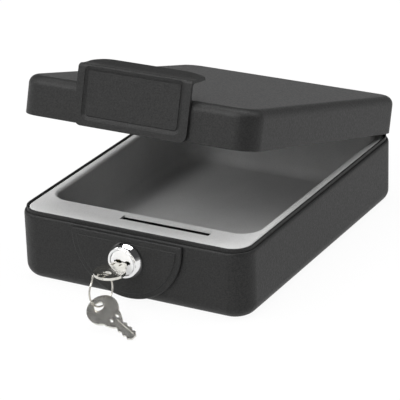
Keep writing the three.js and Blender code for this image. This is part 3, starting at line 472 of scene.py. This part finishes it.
def combine(target, tool, operation="DIFFERENCE"):
    """Cuts target by tool, or joins them or keeps what they share, and deletes tool."""
    change = target.modifiers.new("cut", "BOOLEAN")
    change.operation = operation
    change.solver = "EXACT"
    change.object = tool
    settle(target)
    bpy.data.objects.remove(tool)


def rounded_edge(piece, width, angle, segments):
    """Rounds the edges that turn by more than an angle in degrees."""
    bevel = piece.modifiers.new("edge", "BEVEL")
    bevel.width = width * MM
    bevel.segments = segments
    bevel.limit_method = "ANGLE"
    bevel.angle_limit = math.radians(angle)
    bevel.use_clamp_overlap = True
    bevel.miter_outer = "MITER_ARC"


def smooth(piece, angle=38.0):
    """Shades a piece smooth up to an angle in degrees, its large faces staying flat."""
    mesh = piece.data
    mesh.shade_smooth()
    mesh.set_sharp_from_angle(angle=math.radians(angle))
    lean = piece.modifiers.new("even", "WEIGHTED_NORMAL")
    lean.keep_sharp = True
    lean.weight = 60


def finish_piece(piece, body, material, slot, *nodes):
    """Gives a piece its finish, sets it on its body and lets it stand for its nodes."""
    settle(piece)
    piece.data.materials.clear()
    piece.data.materials.append(material)
    smooth(piece)
    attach(piece, body)
    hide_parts(*nodes)


def paint_hollow_shade(piece, material, ranges):
    """Gives another material, painted shade, to the faces whose middle is within the x, y and z
    ranges.
    """
    piece.data.materials.append(material)
    for face in piece.data.polygons:
        middle = face.center / MM
        if all(low < value < high for value, (low, high) in zip(middle, ranges)):
            face.material_index = 1


# Case

base_case = loft("base_case", pan_loops(0.0, BASE_TOP, BASE_FILLET, BASE_LIP, BASE_LIP_HEIGHT))
combine(base_case, lock_hole(BEHIND - 10.0))
finish_piece(base_case, "base", COAT, "black_coat", "base_shell")


def rim_loops():
    """Section of the upright rim inside the base, its top edges rounded."""
    r = RIM_ROUND
    loops = [case_loop(RIM_OUT, RIM_BOTTOM)]
    loops += [case_loop(RIM_OUT + r - r * math.cos(a), RIM_TOP - r + r * math.sin(a))
              for a in quarter(6)]
    loops += [case_loop(RIM_IN - r + r * math.sin(a), RIM_TOP - r + r * math.cos(a))
              for a in quarter(6)]
    loops.append(case_loop(RIM_IN, RIM_BOTTOM))
    return loops


inner_lip = loft("inner_lip", rim_loops(), ring=True)
finish_piece(inner_lip, "base", COAT, "black_coat", "inner_rim")


def lid_loops():
    """The pan of the lid, drawn upright and turned over about its middle height."""
    upright = pan_loops(LID_BOTTOM, LID_TOP, LID_FILLET, LID_LIP, LID_LIP_HEIGHT)
    return [[(x, y, LID_TOP + LID_BOTTOM - z) for x, y, z in loop] for loop in upright]


lid_cover = loft("lid_cover", lid_loops(), lid_rest)
finish_piece(lid_cover, "lid", COAT, "black_coat", "lid_shell")


# Foam

def hollow_loop(grow, z):
    """Outline of the tray's hollow, made larger by grow."""
    left, right, near, far = CAVITY
    return plan_loop((left - grow, right + grow, near - grow, far + grow), CAVITY_CORNER + grow, z)


def foam_tray():
    """The tray from under its floor up the outside, over its rim and down into the hollow."""
    loops = []
    under = BASE_FILLET - TRAY_INSET
    for a in quarter(5):
        inset = TRAY_INSET + under - under * math.sin(a)
        loops.append(case_loop(inset, TRAY_BOTTOM + under - under * math.cos(a)))
    edge = TRAY_ROUND
    for a in quarter(5):
        inset = TRAY_INSET + edge - edge * math.cos(a)
        loops.append(case_loop(inset, TRAY_TOP - edge + edge * math.sin(a)))
    roll = CAVITY_ROLL
    for a in quarter(7):
        loops.append(hollow_loop(roll - roll * math.sin(a), TRAY_TOP - roll + roll * math.cos(a)))
    fillet = CAVITY_FILLET
    for a in quarter(8):
        grow = -fillet + fillet * math.cos(a)
        loops.append(hollow_loop(grow, TRAY_FLOOR + fillet - fillet * math.sin(a)))
    return loft("foam_tray_soft", loops)


# The cam turns in a pocket behind the lock, and a slot opens the pocket upwards
POCKET_NEAR, POCKET_FAR, POCKET_LOW, POCKET_HIGH = POCKET[2:]
tray = foam_tray()
combine(tray, box("pocket", *POCKET))
combine(tray, loft("slot", [plan_loop(SLOT, SLOT_CORNER, z, 4)
                            for z in (POCKET_HIGH - SLOT_UNDER, TRAY_TOP + SLOT_OVER)]))
finish_piece(tray, "base", FOAM, "foam", "foam_tray")
# The slot is to look nearly black, so the walls of the pocket get near-black foam: painted shade
# for the dark inside of the pocket
paint_hollow_shade(tray, DARK_FOAM_AND_SHADE, ((-POCKET_SHADE_SIDE, POCKET_SHADE_SIDE),
                              (POCKET_NEAR - POCKET_SHADE_REACH, POCKET_FAR + POCKET_SHADE_REACH),
                              (POCKET_LOW - POCKET_SHADE_REACH, POCKET_HIGH + POCKET_SHADE_REACH)))


def lid_pad():
    """A foam sheet under the top of the lid, its lower edge rounded."""
    edge = PAD_ROUND
    loops = [case_loop(PAD_INSET, PAD_TOP)]
    for a in quarter(5):
        inset = PAD_INSET + edge - edge * math.cos(a)
        loops.append(case_loop(inset, PAD_BOTTOM + edge - edge * math.sin(a)))
    return loft("lid_pad_soft", loops, lid_rest)


pad = lid_pad()
finish_piece(pad, "lid", DARK_FOAM_AND_SHADE, "dark_foam", "lid_pad")


# Pull plate

def plate_section():
    """Outline of the plate seen from the side, as (y, z), from its lower front corner."""
    outline = [(PLATE_FRONT, PLATE_BOTTOM), (PLATE_BACK, PLATE_BOTTOM)]
    outline += arc((PLATE_BACK + BACK_BEND, BACK_BEND_Z), BACK_BEND, 180, 95, 6)
    outline += UNDERSIDE
    outline += arc((TIP_Y, PLATE_TOP + LIP_CLIMB - TIP_ROUND), TIP_ROUND, 0, 90, 6)
    for k in range(1, SWEEP_STEPS):
        t = k / SWEEP_STEPS
        outline.append((TIP_Y - SWEEP_LENGTH * t, PLATE_TOP + LIP_CLIMB * (1 - t) ** SWEEP_POWER))
    bend = (PLATE_FRONT + PLATE_BEND, PLATE_TOP - PLATE_BEND)
    outline += arc(bend, PLATE_BEND, 90, 180, 8)
    return outline


def plate_face(y):
    """Outline of the plate from the front: round lower corners, a top that falls to its ends."""
    level = PLATE_TOP + LIP_CLIMB - LIP_FALL
    shoulder = PLATE_X - LIP_RUN
    r = PLATE_CORNER
    loop = []
    for side, turn in ((1, 0.0), (-1, math.pi / 2)):
        for a in (turn + q for q in quarter(16)):
            x = side * shoulder + LIP_RUN * math.cos(a)
            loop.append((x, y, level + LIP_FALL * math.sin(a)))
    for side, turn in ((-1, math.pi), (1, math.pi * 1.5)):
        for a in (turn + q for q in quarter(8)):
            x = side * (PLATE_X - r) + r * math.cos(a)
            loop.append((x, y, PLATE_BOTTOM + r + r * math.sin(a)))
    return loop


def panel_loop(inset, y):
    """Outline of the panel at one depth, set in from its edge."""
    left, right, low, high = PANEL
    upper = max(PANEL_UPPER_CORNER - inset, PANEL_LEAST_CORNER)
    lower = max(PANEL_LOWER_CORNER - inset, PANEL_LEAST_CORNER)
    bounds = (left + inset, right - inset, low + inset, high - inset)
    return front_loop(bounds, (upper, upper, lower, lower), y)


def panel_tool():
    """The pressed panel: a soft shoulder, a sloping side, a channel at its foot, a flat field."""
    soft, fall = PANEL_SOFT, PANEL_SOFT_FALL
    foot, depth = PANEL_SLOPE, PLATE_FRONT + PANEL_DEEP
    loops = [panel_loop(-soft, AHEAD), panel_loop(-soft, PLATE_FRONT)]
    loops += [panel_loop(-soft + soft * math.sin(a), PLATE_FRONT + fall * (1 - math.cos(a)))
              for a in quarter(4)[1:]]
    loops += [panel_loop(foot, depth), panel_loop(foot + CHANNEL_WIDTH, depth)]
    loops.append(panel_loop(foot + CHANNEL_WIDTH + CHANNEL_SIDE, depth - CHANNEL_DEEP))
    return loft("panel", loops)


def pull_plate():
    """The plate, trimmed from the front, at its ends and from above, with its panel and studs."""
    section = plate_section()
    plate = loft("pull_handle", [[(x, y, z) for y, z in section] for x in (-PLATE_X, PLATE_X)])
    ends = (-PLATE_X, PLATE_X, END_LOW, PLATE_TOP + END_RISE)
    radii = (END_ROUND, END_ROUND, 0.0, 0.0)
    above = (-PLATE_X, PLATE_X, AHEAD - 10.0, FLANGE_END)
    for name, loops in (
            ("face", [plate_face(y) for y in (AHEAD, BEHIND)]),
            ("ends", [front_loop(ends, radii, y) for y in (AHEAD - 1.0, BEHIND + 1.0)]),
            ("plan", [plan_loop(above, FLANGE_CORNER, z) for z in (BELOW_PLATE, ABOVE_PLATE)])):
        combine(plate, loft(name, loops), "INTERSECT")
    combine(plate, panel_tool())
    rounded_edge(plate, PLATE_EDGE, angle=32.0, segments=3)
    settle(plate)
    plate.data.transform(LID_TURN)
    for x in STUD_X:
        stud = turned("stud", STUD, x, STUD_Z, 24)
        stud.data.transform(LID_TURN)
        combine(plate, stud, "UNION")
    return plate


finish_piece(pull_plate(), "lid", COAT, "black_coat", "pull_plate")


# Lock boss

def boss_loop(inset, y):
    """Outline of the boss at one depth: a round with a flat top, set in from its edge."""
    radius = BOSS_RADIUS - inset
    top = BOSS_TOP - inset
    lean = math.degrees(math.asin((top - BOSS_CENTRE) / radius))
    outline = arc((0.0, BOSS_CENTRE), radius, 180 - lean, 360 + lean, 90)
    return [(x, y, z) for x, z in outline]


def lock_boss():
    """The boss from its raised face over the step, the band and the edge to its back."""
    band = BOSS_FRONT + BOSS_RISE
    loops = [boss_loop(BOSS_STEP + STEP_FLAT, BOSS_FRONT)]
    loops += [boss_loop(BOSS_STEP + STEP_ROUND - STEP_ROUND * math.sin(a),
                        BOSS_FRONT + STEP_FALL - STEP_FALL * math.cos(a))
              for a in quarter(4)[1:]]
    loops += [boss_loop(BOSS_STEP - STEP_FOOT, band), boss_loop(BOSS_EDGE + BAND_FLAT, band)]
    loops += [boss_loop(BOSS_EDGE - BOSS_EDGE * math.sin(a),
                        band + BOSS_EDGE - BOSS_EDGE * math.cos(a)) for a in quarter(5)]
    loops.append(boss_loop(0.0, BOSS_BACK))
    return loft("lock_boss_plate", loops)


def grown_case():
    """The outside of the base made a little larger, which cuts the back of the boss."""
    r = BASE_FILLET + BOSS_GAP
    loops = [case_loop(BASE_FILLET - r * math.sin(a), BASE_FILLET - r * math.cos(a))
             for a in quarter(10)]
    loops.append(case_loop(-BOSS_GAP, ABOVE_BOSS))
    return loft("grown", loops)


boss = lock_boss()
combine(boss, grown_case())
combine(boss, lock_hole(BEHIND))
finish_piece(boss, "base", COAT, "black_coat", "lock_boss")


# Lock

def collar():
    """Lock body with a conical chrome collar round the plug."""
    cone = []
    for k in range(1, CONE_STEPS):
        t = k / CONE_STEPS
        cone.append((CONE_RADIUS - CONE_TAPER * t + CONE_BULGE * math.sin(math.pi * t),
                     CONE_FOOT - CONE_LENGTH * t))
    return turned("lock_collar", COLLAR_BODY + cone + COLLAR_MOUTH)


finish_piece(collar(), "base", CHROME, "chrome", "lock_housing")

barrel = turned("lock_cylinder", BARREL)
combine(barrel, loft("keyway", [[(x, y, LOCK_Z + z) for x, z in WARD]
                                for y in (WARD_FRONT, WARD_BACK)]))
finish_piece(barrel, "plug", SATIN, "chrome", "lock_plug")
# The keyway's faces are painted near-black: painted shade in the slit
paint_hollow_shade(barrel, KEYWAY_SHADE, SHADED_WARD_FACES)


# Keys

def key_blank(name):
    """A flat key with its ring hole, bites, eyes and a groove in each face."""
    low, high = -KEY_THICK / 2, KEY_THICK / 2
    body = disc(name, BOW_RADIUS, 0.0, 0.0, low, high, 72)
    blade = loft("blade", [[(x, y, z) for x, y in KEY_OUTLINE] for z in (low, high)])
    combine(body, blade, "UNION")
    combine(body, disc("hole", HOLE_RADIUS, HOLE_X, 0.0, -KEY_CUT, KEY_CUT, 48))
    for x in BITE_X:
        for side in (-1, 1):
            combine(body, disc("bite", BITE_RADIUS, x, side * BITE_Y, -KEY_CUT, KEY_CUT, 32))
    for y in EYE_Y:
        combine(body, box("eye", *EYE_X, y - EYE_HALF, y + EYE_HALF, -KEY_CUT, KEY_CUT))
    rounded_edge(body, KEY_EDGE, angle=40.0, segments=2)
    settle(body)
    for face in (-1, 1):
        y = face * GROOVE_Y
        combine(body, box("groove", *GROOVE_X, y - GROOVE_HALF, y + GROOVE_HALF,
                          face * GROOVE_FLOOR, face * GROOVE_TOP))
    return body


def stand(x_axis, z_axis, origin):
    """Matrix that sets up a flat key, with its blade along x_axis and its face to z_axis."""
    x = Vector(x_axis).normalized()
    y = Vector(z_axis).cross(x).normalized()
    turn = Matrix((x, y, x.cross(y))).transposed().to_4x4()
    return Matrix.Translation(Vector(origin) * MM) @ turn


first_key = key_blank("door_key")
first_key.data.transform(stand((0, 1, 0), (0, 0, 1), KEY_BOW))
finish_piece(first_key, "key", NICKEL, "nickel", "key_in_lock")
second_key = key_blank("second_key")
second_key.data.transform(stand(SPARE_BLADE, SPARE_FACE, SPARE_BOW))
finish_piece(second_key, "spare", NICKEL, "nickel", "spare_key")


def ring_path(normal):
    """Middle line of the ring's wire about its normal."""
    forward = normal.cross(Vector((0, 0, 1))).normalized()
    upward = forward.cross(normal).normalized()
    path = []
    for k in range(RING_STEPS + 1):
        share = k / RING_STEPS
        flare = max(0.0, share - FLARE_START) / FLARE_SHARE
        radius = RING_RADIUS + FLARE_REACH * flare * flare
        a = RING_START + RING_SWEEP * share
        path.append(Vector(RING_CENTRE) + forward * (radius * math.cos(a))
                    + upward * (radius * math.sin(a)))
    return path


def wire_ring():
    """Round wire along the ring's path, thinner at its two ends."""
    normal = Vector(RING_NORMAL).normalized()
    path = ring_path(normal)
    rim = circle(1.0, WIRE_SIDES)
    loops = []
    for k, point in enumerate(path):
        ahead = path[min(k + 1, RING_STEPS)] - path[max(k - 1, 0)]
        side = normal.cross(ahead.normalized()).normalized()
        shrink = WIRE_END if k in (0, RING_STEPS) else 1.0
        loops.append([tuple(point + (normal * u + side * v) * WIRE_RADIUS * shrink)
                      for u, v in rim])
    return loft("split_ring", loops)


finish_piece(wire_ring(), "ring", WIRE, "nickel", "key_ring")


# Pieces whose CAD form stays

def even_shading(angle):
    """Geometry nodes that shade a faceted solid smooth up to an angle in degrees."""
    group = bpy.data.node_groups.new("even_shading", "GeometryNodeTree")
    group.interface.new_socket("Geometry", in_out="INPUT", socket_type="NodeSocketGeometry")
    group.interface.new_socket("Geometry", in_out="OUTPUT", socket_type="NodeSocketGeometry")
    start = group.nodes.new("NodeGroupInput")
    end = group.nodes.new("NodeGroupOutput")
    faces = group.nodes.new("GeometryNodeSetShadeSmooth")
    faces.domain = "FACE"
    edges = group.nodes.new("GeometryNodeSetShadeSmooth")
    edges.domain = "EDGE"
    bend = group.nodes.new("GeometryNodeInputMeshEdgeAngle")
    small = group.nodes.new("FunctionNodeCompare")
    small.operation = "LESS_THAN"
    small.inputs[1].default_value = math.radians(angle)
    group.links.new(start.outputs[0], faces.inputs["Geometry"])
    group.links.new(faces.outputs["Geometry"], edges.inputs["Geometry"])
    group.links.new(bend.outputs["Unsigned Angle"], small.inputs[0])
    group.links.new(small.outputs["Result"], edges.inputs["Shade Smooth"])
    group.links.new(edges.outputs["Geometry"], end.inputs[0])
    return group


SHADING = even_shading(36.0)


def dress(names, material, width, angle=45.0):
    """Gives CAD nodes a material, welded points, rounded edges and even shading."""
    for name in names:
        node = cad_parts[name]
        node.data.materials.clear()
        node.data.materials.append(material)
        weld = node.modifiers.new("weld", "WELD")
        weld.merge_threshold = WELD_REACH
        rounded_edge(node, width, angle, segments=2)
        node.modifiers.new("shade", "NODES").node_group = SHADING


rivets = [f"{where}_rivet_{k}" for where in ("base", "lid") for k in (1, 2, 3, 4)]
dress(["hinge_leaf_base", "hinge_leaf_lid"], COAT, width=0.25)
dress(rivets, COAT, width=0.3, angle=50.0)
dress(["hinge_pin", "cam", "cam_washer", "cam_screw", "keeper_bracket"], ZINC, width=0.2)
dress(["lock_washer", "lock_nut"], ZINC, width=0.15)
dress(["plate_washer_1", "plate_washer_2", "plate_nut_1", "plate_nut_2"], ZINC, width=0.15)
dress(["wafer_1", "wafer_2", "wafer_3", "wafer_4"], BRASS, width=0.12)


# Floor, light and camera

def floor_material():
    """A pale matt floor that glows nearly white to the camera and in reflections."""
    m = Nodes("pale_floor")
    m.tree.nodes.remove(m.shader)
    plain = m.add("ShaderNodeBsdfDiffuse")
    plain.inputs["Color"].default_value = (FLOOR_GREY, FLOOR_GREY, FLOOR_GREY, 1.0)
    glow = m.add("ShaderNodeEmission")
    glow.inputs["Strength"].default_value = 1.0
    rays = m.add("ShaderNodeLightPath")
    seen = m.add("ShaderNodeMath", operation="MAXIMUM")
    m.join(rays, "Is Camera Ray", seen, 0)
    m.join(rays, "Is Glossy Ray", seen, 1)
    seen_through = m.add("ShaderNodeMath", operation="MAXIMUM")
    m.join(seen, 0, seen_through, 0)
    m.join(rays, "Is Transmission Ray", seen_through, 1)
    share = m.add("ShaderNodeMath", operation="MULTIPLY")
    share.inputs[1].default_value = FLOOR_GLOW_SHARE
    m.join(seen_through, 0, share, 0)
    mix = m.add("ShaderNodeMixShader")
    m.join(share, 0, mix, 0)
    m.join(plain, 0, mix, 1)
    m.join(glow, 0, mix, 2)
    m.join(mix, 0, m.output, "Surface")
    return m.material


corners = ((-1, -1), (1, -1), (1, 1), (-1, 1))
floor = make("floor", [(x * FLOOR_REACH, y * FLOOR_REACH, FLOOR_Z) for x, y in corners],
             [(0, 1, 2, 3)])
floor.data.materials.append(floor_material())


def studio():
    """A room that is bright low down, round the floor, and dim overhead."""
    world = bpy.data.worlds.new("studio")
    world.use_nodes = True
    tree = world.node_tree
    tree.nodes.clear()
    out = tree.nodes.new("ShaderNodeOutputWorld")
    room = tree.nodes.new("ShaderNodeBackground")
    direction = tree.nodes.new("ShaderNodeTexCoord")
    parts = tree.nodes.new("ShaderNodeSeparateXYZ")
    shade = tree.nodes.new("ShaderNodeValToRGB")
    stops = shade.color_ramp.elements
    stops[0].position, stops[0].color = 0.0, (0.5, 0.5, 0.5, 1.0)
    stops[1].position, stops[1].color = 0.34, (0.07, 0.07, 0.071, 1.0)
    middle = stops.new(0.12)
    middle.color = (0.21, 0.21, 0.211, 1.0)
    tree.links.new(direction.outputs["Generated"], parts.inputs[0])
    tree.links.new(parts.outputs["Z"], shade.inputs["Fac"])
    tree.links.new(shade.outputs["Color"], room.inputs["Color"])
    tree.links.new(room.outputs[0], out.inputs["Surface"])
    return world


bpy.context.scene.world = studio()


def lamp(name, position, target, size, power):
    """An area lamp; lengths are in metres, size is (width, depth) and power is in watts."""
    data = bpy.data.lights.new(name, "AREA")
    data.shape = "RECTANGLE"
    data.size, data.size_y = size
    data.energy = power
    light = bpy.data.objects.new(name, data)
    light.location = position
    light.rotation_mode = "QUATERNION"
    light.rotation_quaternion = (Vector(target) - Vector(position)).to_track_quat("-Z", "Y")
    bpy.context.scene.collection.objects.link(light)


CASE_MIDDLE = (0.0, 0.0, 0.03)
lamp("top", (-0.07, 0.15, 1.5), (-0.07, 0.15, 0.03), size=(1.34, 0.7), power=17.0)
lamp("front_low", (-0.35, -1.7, 1.0), CASE_MIDDLE, size=(1.2, 1.1), power=9.6)
lamp("front_high", (-0.5, -1.26, 1.38), CASE_MIDDLE, size=(1.7, 0.7), power=21.5)
lamp("side", (-1.5, -0.6, 0.95), CASE_MIDDLE, size=(1.0, 0.7), power=7.0)
lamp("right", (0.96, 0.62, 1.15), CASE_MIDDLE, size=(0.8, 0.6), power=7.8)

camera_data = bpy.data.cameras.new("camera")
camera_data.sensor_width = SENSOR
camera_data.sensor_fit = "HORIZONTAL"
camera_data.lens = FOCAL_PIXELS * SENSOR / PHOTO_WIDTH
camera_data.clip_start = 0.05
camera_data.clip_end = 50.0
camera = bpy.data.objects.new("camera", camera_data)
camera.matrix_world = (
    Matrix.Translation(Vector(CAMERA_PLACE) * MM)
    @ Matrix((CAMERA_RIGHT, CAMERA_UP, CAMERA_BACK)).transposed().to_4x4())
bpy.context.scene.collection.objects.link(camera)
bpy.context.scene.camera = camera
bpy.context.scene.view_settings.view_transform = "Standard"
